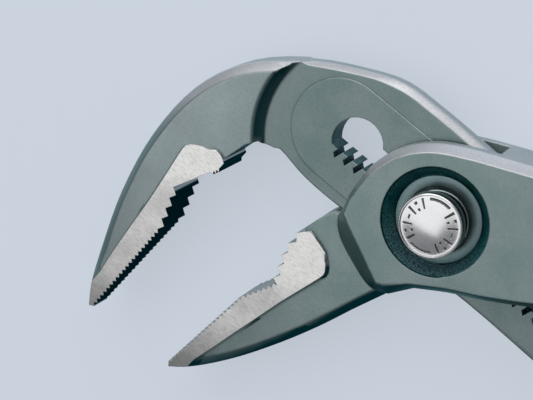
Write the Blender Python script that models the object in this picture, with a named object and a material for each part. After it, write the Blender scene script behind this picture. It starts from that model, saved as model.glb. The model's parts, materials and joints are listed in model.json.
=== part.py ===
"""Water pump pliers with a push-button box joint, modelled lying flat.

X runs along the handles, the jaws are at -X, and Z is up through the joint.
The head is laid out from the joint axis, on the tool's middle plane. At the end
everything is lifted and shifted so that the origin is under the middle of the
tool, on the surface that it lies on.
"""
import math

import bmesh
import bpy
from mathutils import Matrix, Vector

mm = 0.001
deg = math.radians(1)

# Overall sizes
tool_length = 250.0 * mm
jaw_reach = 57.5 * mm
joint_thickness = 15.0 * mm
running_gap = 0.3 * mm
overrun = 2.0 * mm
weld = 0.004 * mm

# Ranges of the joints
rack_pitch = 2.2 * mm
closing_steps = 7
opening_steps = 11
tight_angle = 1.5 * deg
open_angle = 26.0 * deg
button_travel = 2.8 * mm

# The toothed slot and the web that carries it
slot_angle = 164.0 * deg
web_thickness = 4.9 * mm
track_rise = 0.25 * mm
track_width = 18.2 * mm
track_end = 22.9 * mm
track_foot = 30.0 * mm
slot_round = 9.4 * mm
slot_round_place = 19.1 * mm
slot_foot_place = 30.0 * mm
slot_corner = 1.2 * mm
smooth_side = 2.3 * mm
tooth_side = 2.9 * mm
notch_depth = 1.7 * mm
notch_width = 1.0 * mm
notch_lean = 20.0 * deg
notch_slant = 42.0 * deg
last_notch = 21.25 * mm
tooth_clearance = 0.22 * mm

# Jaws
jaw_thickness = 9.0 * mm
jaw_tip_thickness_share = 0.52
jaw_edge = 1.9 * mm
web_edge = 1.3 * mm
edge_shares = ((0, 1.12), (0.1, 0.86), (0.76, 0.1), (1, 0))
step_radius = 17.3 * mm
step_slope = 1.7 * mm
step_shares = ((-0.3, 0), (0, 0.1), (0.72, 0.78), (1, 0.94), (1.3, 1.02))
pad_rise = 0.6 * mm
pad_edge = 0.7 * mm
pad_edge_shares = ((0, 1), (1, 0))
coarse_depth = 1.0 * mm
fine_depth = 0.55 * mm
coarse_count = 4
fine_pitch = 1.05 * mm

# Box joint
cheek_slope = 2.6 * mm
pocket_rim = 18.7 * mm
pocket_foot = 15.8 * mm
ledge_height = 4.5 * mm
rim_chamfer = 0.25 * mm
pocket_floor = 4.0 * mm
cup_seat = 13.2 * mm
stem_bore = 6.6 * mm
bolt_bore = 10.4 * mm

# Bolt, button and spring
bolt_diameter = 9.8 * mm
bolt_end = 4.5 * mm
stem_diameter = 6.0 * mm
stem_top = 8.0 * mm
spigot_diameter = 3.8 * mm
spigot_length = 1.6 * mm
tooth_engagement = 2.4 * mm
button_diameter = 11.2 * mm
button_top = 10.2 * mm
button_dome = 0.5 * mm
button_skirt = 0.5 * mm
button_height = 1.9 * mm
button_ceiling = 0.7 * mm
spring_wire = 0.7 * mm
spring_turns = 2.25
spring_foot = 10.4 * mm
spring_head = 8.6 * mm
ring_flange = 15.2 * mm
ring_sheet = 0.5 * mm
ring_bore = 7.2 * mm

# Handles and grips
tang_width = 11.0 * mm
tang_thickness = 7.0 * mm
tang_edge = 1.5 * mm
rack_root_shares = (1.1, 0.64)
box_root_shares = (1.5, 1.85)
tang_width_shares = ((0.16, 1.2), (0.3, 1), (0.9, 1), (1, 0.7))
tang_thickness_shares = ((0.22, 1), (1, 1))
grip_start = 62.0 * mm
grip_end_wall = 4.0 * mm
grip_width = 18.0 * mm
grip_thickness = 15.0 * mm
grip_place_shares = (0, 0.02, 0.04, 0.07, 0.1, 0.15, 0.2, 0.26, 0.33, 0.4, 0.48, 0.56, 0.64, 0.7, 0.77, 0.84,
                     0.9, 0.94, 0.96, 0.975, 0.985, 0.994, 1)
grip_width_shares = ((0, 0.78), (0.04, 0.97), (0.1, 0.98), (0.3, 1.0), (0.6, 0.97), (0.85, 0.96),
                     (0.94, 1.02), (0.975, 0.9), (0.992, 0.62), (1, 0.3))
grip_thickness_shares = ((0, 0.72), (0.04, 0.86), (0.15, 0.92), (0.4, 1.0), (0.7, 1.0), (0.94, 0.96),
                         (0.975, 0.82), (0.992, 0.55), (1, 0.25))

curve_steps = 4

half_joint = joint_thickness / 2
cheek_inner = web_thickness / 2 + track_rise + running_gap
handle_end = tool_length - jaw_reach

# Outlines, as shares of the jaws' reach
hook_back_shares = [
    (-0.975, -0.785), (-0.998, -0.725), (-1.0, -0.58), (-0.99, -0.375), (-0.945, -0.15),
    (-0.862, 0.04), (-0.735, 0.175), (-0.55, 0.262), (-0.37, 0.304), (-0.252, 0.314), (-0.135, 0.2875),
    (-0.001, 0.248), (0.131, 0.205), (0.262, 0.155), (0.39, 0.098), (0.517, 0.036), (0.675, -0.045),
    (0.83, -0.127), (0.96, -0.195), (1.13, -0.285)]
web_inner_shares = [
    (1.13, -0.44), (0.87, -0.42), (0.52, -0.335), (0.16, -0.226), (-0.06, -0.18),
    (-0.3, -0.124), (-0.44, -0.083), (-0.545, -0.034), (-0.60, -0.03)]
hook_throat_shares = [(-0.61, -0.026), (-0.638, -0.045), (-0.68, -0.105)]
hook_inner_shares = [(-0.70, -0.135), (-0.79, -0.2), (-0.865, -0.42), (-0.93, -0.62), (-0.967, -0.77)]
hook_pad_back_shares = [
    (-0.975, -0.785), (-0.988, -0.70), (-0.967, -0.60), (-0.925, -0.46), (-0.893, -0.36),
    (-0.862, -0.25), (-0.84, -0.16), (-0.825, -0.12), (-0.79, -0.10), (-0.74, -0.095),
    (-0.70, -0.108), (-0.681, -0.128)]
hook_grip_shares = [(-0.69, -0.15), (-0.712, -0.172), (-0.812, -0.27), (-0.822, -0.425), (-0.968, -0.785)]
jaw_back_shares = [
    (-0.652, -0.856), (-0.612, -0.843), (-0.534, -0.79), (-0.433, -0.705), (-0.325, -0.597),
    (-0.23, -0.49), (-0.16, -0.402), (-0.075, -0.30)]
jaw_inner_shares = [(-0.365, -0.225), (-0.36, -0.3), (-0.37, -0.42), (-0.46, -0.54), (-0.55, -0.7),
                    (-0.64, -0.83)]
jaw_throat_shares = [
    (-0.04, -0.15), (-0.20, -0.10), (-0.283, -0.118), (-0.307, -0.123), (-0.322, -0.14), (-0.35, -0.172),
    (-0.372, -0.21)]
jaw_pad_back_shares = [
    (-0.652, -0.852), (-0.59, -0.82), (-0.541, -0.755), (-0.475, -0.652), (-0.409, -0.55),
    (-0.348, -0.456), (-0.287, -0.369), (-0.256, -0.322), (-0.257, -0.292), (-0.271, -0.263),
    (-0.306, -0.235), (-0.352, -0.208)]
jaw_grip_shares = [(-0.366, -0.215), (-0.396, -0.30), (-0.392, -0.415), (-0.488, -0.515), (-0.652, -0.845)]
cheek_left_shares = [(-0.283, -0.095), (-0.288, -0.135), (-0.262, -0.185), (-0.2, -0.24),
                     (-0.125, -0.288), (-0.062, -0.284)]
cheek_bottom_shares = [(0.005, -0.231), (0.106, -0.197), (0.22, -0.168), (0.36, -0.122), (0.5, -0.06),
                       (0.63, 0.012), (0.73, 0.09)]
cheek_bottom_edge_shares = ((0, 0.65), (0.6, 0.65), (1, 1.5))
cheek_top_edge_shares = ((0, 1.5), (0.35, 0.46), (1, 0.46))
cheek_top_shares = [(0.755, 0.17), (0.72, 0.255), (0.62, 0.3), (0.48, 0.3), (0.34, 0.284), (0.2, 0.263),
                    (0.1, 0.249), (0.02, 0.236), (-0.07, 0.215),
                    (-0.14, 0.182), (-0.197, 0.135), (-0.243, 0.07), (-0.268, 0.0), (-0.28, -0.05)]

# Handle centre lines, as shares of the length from the joint to the handles' ends
box_handle_shares = [(0.13, 0.03), (0.21, 0.057), (0.30, 0.08), (0.42, 0.1), (0.57, 0.11), (0.78, 0.101),
                     (1.0, 0.072)]
rack_handle_shares = [(0.225, -0.09), (0.31, -0.106), (0.42, -0.127), (0.58, -0.142), (0.79, -0.139),
                      (1.0, -0.115)]


def point(angle, distance):
    return Vector((math.cos(angle) * distance, math.sin(angle) * distance))


along_slot = point(slot_angle, 1)
across_slot = Vector((along_slot.y, -along_slot.x))


def slot_point(u, v):
    """A place given along the slot towards the jaws, and across it towards the back."""
    return along_slot * u + across_slot * v


def spread(shares, size=jaw_reach):
    return [Vector(pair) * size for pair in shares]


def smooth(points, steps=curve_steps):
    """A soft curve through the points, which it keeps."""
    curve = []
    for i in range(len(points) - 1):
        before = points[i - 1] if i else points[0] * 2 - points[1]
        after = points[i + 2] if i + 2 < len(points) else points[-1] * 2 - points[-2]
        a, b = points[i], points[i + 1]
        for k in range(steps):
            t = k / steps
            curve.append(0.5 * (a * 2 + (b - before) * t + (before * 2 - a * 5 + b * 4 - after) * t * t
                                + (a * 3 - before - b * 3 + after) * t ** 3))
    return curve + [points[-1]]


def arc(centre, radius, start, end, steps):
    return [centre + point(start + (end - start) * k / steps, radius) for k in range(steps + 1)]


def material(name, colour, roughness, metallic):
    made = bpy.data.materials.new(name)
    made.use_nodes = True
    shader = made.node_tree.nodes["Principled BSDF"]
    shader.inputs["Base Color"].default_value = (*colour, 1)
    shader.inputs["Roughness"].default_value = roughness
    shader.inputs["Metallic"].default_value = metallic
    return made


def outline_of(*stretches):
    """Joins stretches of points, each with the width of its sloped edge, to one closed outline."""
    points, widths = [], []
    for stretch, width in stretches:
        for i, place in enumerate(stretch):
            points.append(place)
            widths.append(width(i) if callable(width) else width)
    area = sum(a.x * b.y - b.x * a.y for a, b in zip(points, points[1:] + points[:1]))
    if area < 0:
        points.reverse()
        widths.reverse()
    return points, widths


def inset(points, widths):
    """The outline drawn in by each point's own width; a stretch too short for it closes up to a point."""
    moved = []
    for i, place in enumerate(points):
        before = (place - points[i - 1]).normalized()
        after = (points[(i + 1) % len(points)] - place).normalized()
        corner = Vector((-before.y - after.y, before.x + after.x))
        corner /= max(1 + before.dot(after), 0.5)
        moved.append(place + corner * widths[i])
    for i, place in enumerate(points):
        k = (i + 1) % len(points)
        if (moved[k] - moved[i]).dot(points[k] - place) <= 0:
            moved[i] = moved[k] = (moved[i] + moved[k]) / 2
    return moved


def mesh_object(name, bm):
    bmesh.ops.recalc_face_normals(bm, faces=bm.faces)
    mesh = bpy.data.meshes.new(name)
    bm.to_mesh(mesh)
    bm.free()
    made = bpy.data.objects.new(name, mesh)
    bpy.context.scene.collection.objects.link(made)
    return made


def skin(bm, rings):
    """Faces between one ring of points and the next, with flat ends."""
    loops = [[bm.verts.new(place) for place in ring] for ring in rings]
    for lower, upper in zip(loops, loops[1:]):
        for i in range(len(lower)):
            k = (i + 1) % len(lower)
            bm.faces.new((lower[i], lower[k], upper[k]))
            bm.faces.new((lower[i], upper[k], upper[i]))
    bm.faces.new(reversed(loops[0]))
    bm.faces.new(loops[-1])


def slab(name, stretches, half, slope=0.0, edge=edge_shares):
    """A plate of twice the half thickness, its edges sloped and softly rounded over a given depth."""
    points, widths = outline_of(*stretches)
    bm = bmesh.new()
    levels = [(points, half)]
    if slope:
        drawn_in = inset(points, widths)
        levels = [([a.lerp(b, inward) for a, b in zip(points, drawn_in)], half - slope * down)
                  for inward, down in edge]
    rings = [(ring, -z) for ring, z in reversed(levels)] + levels
    skin(bm, [[place.to_3d() + Vector((0, 0, z)) for place in ring] for ring, z in rings])
    bmesh.ops.remove_doubles(bm, verts=bm.verts, dist=weld)
    return mesh_object(name, bm)


def prism(name, points, low, high):
    bm = bmesh.new()
    skin(bm, [[Vector((place.x, place.y, z)) for place in points] for z in (low, high)])
    return mesh_object(name, bm)


def turned(name, profile, steps):
    """A piece turned about the joint axis from a profile of radius and height."""
    bm = bmesh.new()
    verts = [bm.verts.new((radius, 0, z)) for radius, z in profile]
    edges = [bm.edges.new(pair) for pair in zip(verts, verts[1:])]
    if profile[0][0] > 0:
        edges.append(bm.edges.new((verts[-1], verts[0])))
    bmesh.ops.spin(bm, geom=verts + edges, cent=(0, 0, 0), axis=(0, 0, 1), angle=math.tau, steps=steps,
                   use_merge=True)
    bmesh.ops.remove_doubles(bm, verts=bm.verts, dist=weld)
    loose = [edge for edge in bm.edges if not edge.link_faces]
    bmesh.ops.delete(bm, geom=loose, context="EDGES")
    return mesh_object(name, bm)


def apply_boolean(target, tool, operation):
    step = target.modifiers.new(operation, "BOOLEAN")
    step.operation = operation
    step.solver = "EXACT"
    step.object = tool
    depsgraph = bpy.context.evaluated_depsgraph_get()
    mesh = bpy.data.meshes.new_from_object(target.evaluated_get(depsgraph))
    target.modifiers.clear()
    target.data = mesh
    bpy.data.objects.remove(tool)


def unite(target, *tools):
    for tool in tools:
        apply_boolean(target, tool, "UNION")
    return target


def cut(target, *tools):
    for tool in tools:
        apply_boolean(target, tool, "DIFFERENCE")
    return target


def finish_piece(piece, finish, smooth_angle=30 * deg):
    """Welds what a cut leaves behind, gives the piece its finish and shades its soft faces smooth."""
    bm = bmesh.new()
    bm.from_mesh(piece.data)
    bmesh.ops.remove_doubles(bm, verts=bm.verts, dist=weld)
    bmesh.ops.dissolve_degenerate(bm, edges=bm.edges, dist=weld)
    bm.to_mesh(piece.data)
    bm.free()
    piece.data.materials.clear()
    piece.data.materials.append(finish)
    piece.data.shade_smooth()
    piece.data.set_sharp_from_angle(angle=smooth_angle)
    return piece


def thin_to_tip(piece, start, tip):
    """Draws a jaw's two faces together, evenly from the start to the tip."""
    along = tip - start
    bm = bmesh.new()
    bm.from_mesh(piece.data)
    bmesh.ops.bisect_plane(bm, geom=bm.verts[:] + bm.edges[:] + bm.faces[:], plane_co=start.to_3d(),
                           plane_no=along.to_3d())
    for vert in bm.verts:
        share = (vert.co.xy - start).dot(along) / along.length_squared
        vert.co.z *= 1 - (1 - jaw_tip_thickness_share) * max(share, 0)
    bm.to_mesh(piece.data)
    bm.free()
    return piece


def teeth(start, end, count, depth, mouth):
    """Points from start to end with pointed teeth towards the mouth, the end left out."""
    step = (end - start) / count
    out = Vector((-step.y, step.x)).normalized()
    if out.dot(mouth - start) < 0:
        out.negate()
    points = []
    for i in range(count):
        points += [start + step * i, start + step * (i + 0.5) + out * depth]
    return points


def toothed_pad(back_shares, grip_shares, teeth_rows, mouth):
    """A raised gripping face: a smooth back and a front with rows of teeth, given as (count, depth)."""
    places = spread(grip_shares)
    front = []
    for first, second, (count, depth) in zip(places, places[1:], teeth_rows):
        front += teeth(first, second, count, depth, mouth) if count else [first]
    back = smooth(spread(back_shares), 2)
    ends = len(back) - 4
    return slab("pad", [(back, lambda i: pad_edge if 2 < i < ends else 0), (front, 0)],
                jaw_thickness / 2 + pad_rise, pad_edge, pad_edge_shares)


def fine_count(grip_shares):
    """How many fine teeth fit between a jaw's last corner and its tip."""
    corner, tip = spread(grip_shares[-2:])
    return round((tip - corner).length / fine_pitch)


def growing(width, count=8):
    """An edge width that grows from nothing over the first few points, as at a jaw's tip."""
    return lambda i: width * min(1, i / count)


def varying(width, shares, points):
    """An edge width that follows a short table of (place, share) pairs from the first point to the last."""
    return lambda i: width * between(shares, i / len(points))


def notch_points(place, width, depth, mouth):
    """One slanting notch of the rack, or tooth of the bolt, from its mouth round its root and back."""
    lean = Vector((-math.sin(notch_lean), math.cos(notch_lean)))
    slant = Vector((math.cos(notch_slant), math.sin(notch_slant))) * width
    foot = Vector((place, -tooth_side - depth)) - slant * 0.5
    foot.y = -tooth_side - depth
    top = foot + slant
    return [foot + lean * ((mouth - foot.y) / lean.y), foot, top, top + lean * ((mouth - top.y) / lean.y)]


def slot_cutter():
    """The slot: a round end, a smooth side, a plain foot and a row of slanting notches."""
    radius = slot_round / 2
    root = tooth_side + notch_depth
    last = int((last_notch + opening_steps * rack_pitch) / rack_pitch)
    points = []
    for i in range(last, -1, -1):
        points += notch_points(last_notch - i * rack_pitch, notch_width, notch_depth, -tooth_side)
    points.pop(0)
    low, high = math.asin(tooth_side / radius), math.asin(smooth_side / radius)
    points += arc(Vector((slot_round_place, 0)), radius, -low, math.pi - high, 14)
    corner = Vector((slot_corner - slot_foot_place, smooth_side - slot_corner))
    points += arc(corner, slot_corner, math.pi / 2, math.pi, 3)
    corner = Vector((slot_corner - slot_foot_place, slot_corner - root))
    points += arc(corner, slot_corner, math.pi, math.pi * 1.5, 3)
    deep = web_thickness + overrun
    return prism("slot", [slot_point(*place) for place in points], -deep, deep)


def path_stretch(path, start, end, count):
    """Evenly spaced places on a path, with their directions, between two lengths along it."""
    lengths = [0]
    for a, b in zip(path, path[1:]):
        lengths.append(lengths[-1] + (b - a).length)
    stations = []
    for i in range(count):
        goal = start + (end - start) * i / (count - 1)
        k = 0
        while k < len(path) - 2 and lengths[k + 1] < goal:
            k += 1
        step = path[k + 1] - path[k]
        here = path[k] + step * ((goal - lengths[k]) / (lengths[k + 1] - lengths[k]))
        before, after = path[max(k - 1, 0)], path[min(k + 2, len(path) - 1)]
        stations.append((here, (after - before).normalized()))
    return stations


def bar_section(width, thickness, edge):
    """A rectangle with its corners taken off."""
    w, t = width / 2, thickness / 2
    edge = min(edge, w * 0.6, t * 0.6)
    return [(w - edge, -t), (w, edge - t), (w, t - edge), (w - edge, t),
            (edge - w, t), (-w, t - edge), (-w, edge - t), (edge - w, -t)]


def soft_section(width, thickness, points=18, squareness=0.72):
    """A full round shape between an ellipse and a rectangle."""
    section = []
    for i in range(points):
        angle = math.tau * (i + 0.5) / points
        c, s = math.cos(angle), math.sin(angle)
        section.append((math.copysign(abs(c) ** squareness, c) * width / 2,
                        math.copysign(abs(s) ** squareness, s) * thickness / 2))
    return section


def loft(name, stations, sections):
    bm = bmesh.new()
    rings = []
    for (place, direction), section in zip(stations, sections):
        side = Vector((-direction.y, direction.x))
        rings.append([(place + side * across).to_3d() + Vector((0, 0, up)) for across, up in section])
    skin(bm, rings)
    return mesh_object(name, bm)


def between(shares, t):
    """Reads a short table of (place, value) pairs, with straight lines between them."""
    for (a, low), (b, high) in zip(shares, shares[1:]):
        if t <= b:
            return low + (high - low) * max(t - a, 0) / (b - a)
    return shares[-1][1]


def tang(name, path, root_shares, clearance=0.0):
    """The steel bar of a handle, full at its root and slim inside the grip."""
    length = path_length(path)
    end = length - grip_end_wall + clearance
    count = 18
    sections = []
    for i in range(count):
        t = end * i / (count - 1) / length
        width = tang_width * between(((0, root_shares[0]), *tang_width_shares), t)
        thickness = tang_thickness * between(((0, root_shares[1]), *tang_thickness_shares), t)
        sections.append(bar_section(width + clearance * 2, thickness + clearance * 2, tang_edge))
    return loft(name, path_stretch(path, 0, end, count), sections)


def path_length(path):
    return sum((b - a).length for a, b in zip(path, path[1:]))


def grip(name, path, root_shares, finish):
    """A dipped sleeve over the tang, open at its front."""
    length = path_length(path)
    start = path_length([place for place in path if place.x < grip_start])
    stations, sections = [], []
    for t in grip_place_shares:
        goal = start + (length - start) * t
        stations += path_stretch(path, goal, goal + weld, 2)[:1]
        sections.append(soft_section(grip_width * between(grip_width_shares, t),
                                     grip_thickness * between(grip_thickness_shares, t)))
    sleeve = loft(name, stations, sections)
    cut(sleeve, tang("tang_room", path, root_shares, running_gap))
    return finish_piece(sleeve, finish, 50 * deg)


def entering(points, centre, radius):
    """Where a line of points comes near a centre: the number of points outside, and the place."""
    for i in range(1, len(points)):
        outside, inside = (points[i - 1] - centre).length, (points[i] - centre).length
        if outside >= radius > inside:
            return i, points[i - 1].lerp(points[i], (outside - radius) / (outside - inside))


def hook_and_web():
    """The upper jaw, the web with its toothed slot and track, all one forging with the handle."""
    step_centre = slot_point(slot_round_place, 0)
    back = smooth(spread(hook_back_shares))
    front = spread(hook_throat_shares)[::-1] + smooth(spread(web_inner_shares))[::-1]
    top, top_place = entering(back, step_centre, step_radius)
    foot, foot_place = entering(front, step_centre, step_radius)
    inward = (foot_place - step_centre).normalized()
    jaw = slab("jaw", [(back[:top] + [top_place], growing(jaw_edge)), ([step_centre, foot_place], 0),
                       (front[:foot][::-1], 0), (spread(hook_inner_shares), 0)], jaw_thickness / 2, jaw_edge)
    web_half, rise = web_thickness / 2, jaw_thickness / 2 - web_thickness / 2
    wall = [(step_radius + step_slope * out, web_half + rise * up) for out, up in step_shares]
    wall.append((wall[-1][0], web_half + rise * 2))
    section = [(0, -wall[-1][1])] + [(radius, -z) for radius, z in reversed(wall)] + wall + [(0, wall[-1][1])]
    step = turned("step", section, 76)
    step.data.transform(Matrix.Translation(step_centre.to_3d()))
    cut(jaw, step)
    mouth = spread([(-0.3, -0.5)])[0]
    rows = [(3, fine_depth), (0, 0), (coarse_count, coarse_depth), (fine_count(hook_grip_shares), fine_depth)]
    pad = toothed_pad(hook_pad_back_shares, hook_grip_shares, rows, mouth)
    start, tip = spread([(-0.8, -0.27), (-0.95, -0.785)])
    for piece in (jaw, pad):
        thin_to_tip(piece, start, tip)
    web_front = front[foot:][::-1] + [foot_place]
    plain = len(web_front) - 4
    buried = step_centre + inward * (step_radius + overrun) + along_slot * overrun
    start = top_place + (along_slot - across_slot) * overrun
    web = slab("web", [([start], 0), ([top_place] + back[top:], growing(web_edge)),
                       (web_front, lambda i: web_edge * (i < plain) / 2), ([buried], 0)], web_half, web_edge)
    half_track = track_width / 2
    centre = Vector((track_end, 0))
    track = arc(centre, half_track, -math.pi / 2, math.pi / 2, 24)
    track += arc(Vector((-track_foot, 0)), half_track, math.pi / 2, math.pi * 1.5, 10)
    rise = web_half + track_rise
    track = prism("track", [slot_point(*place) for place in track], -rise, rise)
    return unite(jaw, pad, web, track)


def rack_lever(finish):
    lever = hook_and_web()
    path = smooth(spread(rack_handle_shares, handle_end))
    unite(lever, tang("tang", path, rack_root_shares))
    lever = cut(lever, slot_cutter())
    lever.name = "rack_lever"
    return finish_piece(lever, finish)


def neck_room():
    """The opening between the cheeks that the web passes through, for every place and angle of it."""
    spare = running_gap * 1.5
    inner = max(place.dot(-across_slot) for place in spread(web_inner_shares[2:6])) + spare
    outer = max(place.dot(across_slot) for place in spread(hook_back_shares[9:])) + spare
    left, right = slot_angle + math.pi / 2 + tight_angle, slot_angle + math.pi / 2 - open_angle
    middle = (left + right) / 2
    apex = point(middle, inner / math.cos((left - right) / 2))
    far = jaw_reach * 2
    shift = -along_slot * closing_steps * rack_pitch
    turn = Matrix.Rotation(tight_angle, 2)
    back = smooth(spread(hook_back_shares))
    wall = [place for place in back if -0.35 < place.x / jaw_reach < 0.9]
    wall = inset(wall[::-1], [-spare] * len(wall))[::-1]
    wall = [turn @ (place + shift) for place in wall][1:-1]
    points = [apex + point(left - math.pi / 2, far), apex, apex + point(right + math.pi / 2, far)]
    ahead, behind = wall[-1] + Vector((far, -far * 0.5)), wall[0] + Vector((-far * 0.5, far * 0.5))
    points += [ahead] + wall[::-1] + [behind]
    points, _ = outline_of((points, 0))
    turn = Matrix.Rotation(-open_angle, 2)
    swung = [turn @ slot_point(u, v) for u, v in ((0, -inner), (far, -inner), (far, outer), (0, outer))]
    return [prism("neck_room", outline, -cheek_inner, cheek_inner) for outline in (points, swung)]


def box_lever(finish):
    """The lower jaw and the two cheeks that hold the joint, one forging with the upper handle."""
    jaw = slab("jaw", [(smooth(spread(jaw_back_shares)), growing(jaw_edge)),
                       (spread(jaw_throat_shares), 0), (spread(jaw_inner_shares), 0)],
               jaw_thickness / 2, jaw_edge)
    mouth = spread([(-1, -0.4)])[0]
    rows = [(2, coarse_depth), (3, coarse_depth), (7, fine_depth), (fine_count(jaw_grip_shares), fine_depth)]
    pad = toothed_pad(jaw_pad_back_shares, jaw_grip_shares, rows, mouth)
    start, tip = spread([(-0.39, -0.42), (-0.652, -0.85)])
    for piece in (jaw, pad):
        thin_to_tip(piece, start, tip)
    bottom, top = smooth(spread(cheek_bottom_shares)), smooth(spread(cheek_top_shares))
    left = smooth(spread(cheek_left_shares))
    cheeks = slab("cheeks", [(left, cheek_slope),
                             (bottom, varying(cheek_slope, cheek_bottom_edge_shares, bottom)),
                             (top, varying(cheek_slope, cheek_top_edge_shares, top))],
                  half_joint, cheek_slope)
    path = smooth(spread(box_handle_shares, handle_end))
    lever = unite(cheeks, jaw, pad, tang("tang", path, box_root_shares))
    low = -half_joint - overrun
    rim, foot, seat, stem = pocket_rim / 2, pocket_foot / 2, cup_seat / 2, stem_bore / 2
    above = half_joint + overrun
    pocket = [(0, cheek_inner - overrun), (stem, cheek_inner - overrun), (stem, pocket_floor),
              (seat, pocket_floor), (seat, ledge_height), (foot, ledge_height),
              (foot, ledge_height + running_gap * 2), (rim, half_joint - rim_chamfer),
              (rim + rim_chamfer, half_joint), (rim + rim_chamfer, above), (0, above)]
    bore = [(0, low), (bolt_bore / 2, low), (bolt_bore / 2, 0), (0, 0)]
    cut(lever, *neck_room(), turned("pocket", pocket, 48), turned("bore", bore, 40))
    lever.name = "box_lever"
    return finish_piece(lever, finish)


def joint_bolt(finish):
    """The bolt: round in the back cheek, toothed in the slot, slim above, with a spigot for the button."""
    radius = bolt_diameter / 2
    shoulder = web_thickness / 2 + track_rise
    profile = [(0, -bolt_end), (radius - running_gap, -bolt_end), (radius, running_gap - bolt_end),
               (radius, shoulder),
               (stem_diameter / 2, shoulder), (stem_diameter / 2, stem_top), (spigot_diameter / 2, stem_top),
               (spigot_diameter / 2, stem_top + spigot_length), (0, stem_top + spigot_length)]
    bolt = turned("joint_bolt", profile, 40)
    teeth_top = -running_gap
    low = teeth_top - tooth_engagement - running_gap
    slim_top = shoulder + button_travel + running_gap
    far = bolt_diameter
    flat = smooth_side - running_gap
    smooth_cut = prism("smooth_cut", [slot_point(u, v) for u, v in ((-far, flat), (-far, far), (far, far),
                                                                     (far, flat))], low, slim_top)
    relief = -tooth_side + running_gap
    slim_cut = prism("slim_cut", [slot_point(u, v) for u, v in ((-far, relief), (far, relief), (far, -far),
                                                                 (-far, -far))], teeth_top, slim_top)
    outline = [(-far, relief)]
    for i in (-2, -1, 0):
        place = last_notch % rack_pitch + i * rack_pitch
        tooth = notch_points(place, notch_width, notch_depth, relief + tooth_clearance)
        outline += inset(tooth, [tooth_clearance] * 4)
    outline += [(far, relief), (far, -far), (-far, -far)]
    tooth_cut = prism("tooth_cut", [slot_point(*place) for place in outline], low, teeth_top)
    cut(bolt, smooth_cut, slim_cut, tooth_cut)
    return finish_piece(bolt, finish)


def push_button(finish):
    radius = button_diameter / 2
    foot = button_top - button_height
    ceiling = foot + button_ceiling
    hub = stem_diameter / 2 + running_gap
    hole = spigot_diameter / 2 + running_gap
    hole_top = stem_top + spigot_length + running_gap
    lip = button_skirt * 0.6
    profile = [(hole, foot), (hub, foot), (hub, ceiling), (radius - button_skirt, ceiling),
               (radius - button_skirt, foot), (radius, foot), (radius, button_top - lip),
               (radius - lip, button_top), (radius - lip * 2, button_top - lip * 0.5)]
    dome = radius - lip * 2
    for i in range(1, 5):
        t = i / 5
        profile.append((dome * (1 - t), button_top - lip * 0.5 + button_dome * (1 - (1 - t) ** 2)))
    profile += [(0, button_top - lip * 0.5 + button_dome), (0, hole_top), (hole, hole_top), (hole, foot)]
    button = turned("push_button", profile, 42)
    return finish_piece(button, finish, 25 * deg)


def seat_ring(finish):
    """A thin cup under the spring: a flat flange on the pocket's ledge and a sunk floor."""
    floor = pocket_floor + running_gap
    ledge = ledge_height + running_gap
    wall = cup_seat / 2 - running_gap
    profile = [(ring_bore / 2, floor), (wall, floor), (wall, ledge), (ring_flange / 2, ledge),
               (ring_flange / 2, ledge + ring_sheet), (wall - ring_sheet, ledge + ring_sheet),
               (wall - ring_sheet, floor + ring_sheet), (ring_bore / 2, floor + ring_sheet),
               (ring_bore / 2, floor)]
    return finish_piece(turned("seat_ring", profile, 36), finish)


def button_spring(finish):
    """A conical wire spring between the seat ring and the button, its ends running level."""
    low = pocket_floor + running_gap * 2 + ring_sheet + spring_wire / 2
    high = button_top - button_height + button_ceiling - running_gap - spring_wire / 2
    per_turn = 10
    count = round(spring_turns * per_turn)
    points = []
    for i in range(count + 1):
        t = i / count
        radius = (spring_foot + (spring_head - spring_foot) * t) / 2
        angle = math.tau * spring_turns * t
        points.append(Vector((math.cos(angle) * radius, math.sin(angle) * radius, low + (high - low) * t)))
    last = math.tau * spring_turns
    points.insert(0, points[0] - Vector((0, spring_wire, 0)))
    points.append(points[-1] + Vector((-math.sin(last), math.cos(last), 0)) * spring_wire)
    least = min((a - b).length for i, a in enumerate(points) for b in points[i + per_turn // 2:])
    print("least gap of the spring to itself, in mm:", round((least - spring_wire) / mm, 2))
    curve = bpy.data.curves.new("button_spring", "CURVE")
    curve.dimensions = "3D"
    curve.bevel_depth = spring_wire / 2
    curve.bevel_resolution = 1
    curve.use_fill_caps = True
    line = curve.splines.new("POLY")
    line.points.add(len(points) - 1)
    for knot, place in zip(line.points, points):
        knot.co = (*place, 1)
    curve.materials.append(finish)
    made = bpy.data.objects.new("button_spring", curve)
    bpy.context.scene.collection.objects.link(made)
    return made


def empty(name, parent=None):
    made = bpy.data.objects.new(name, None)
    bpy.context.scene.collection.objects.link(made)
    made.parent = parent
    return made


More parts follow.
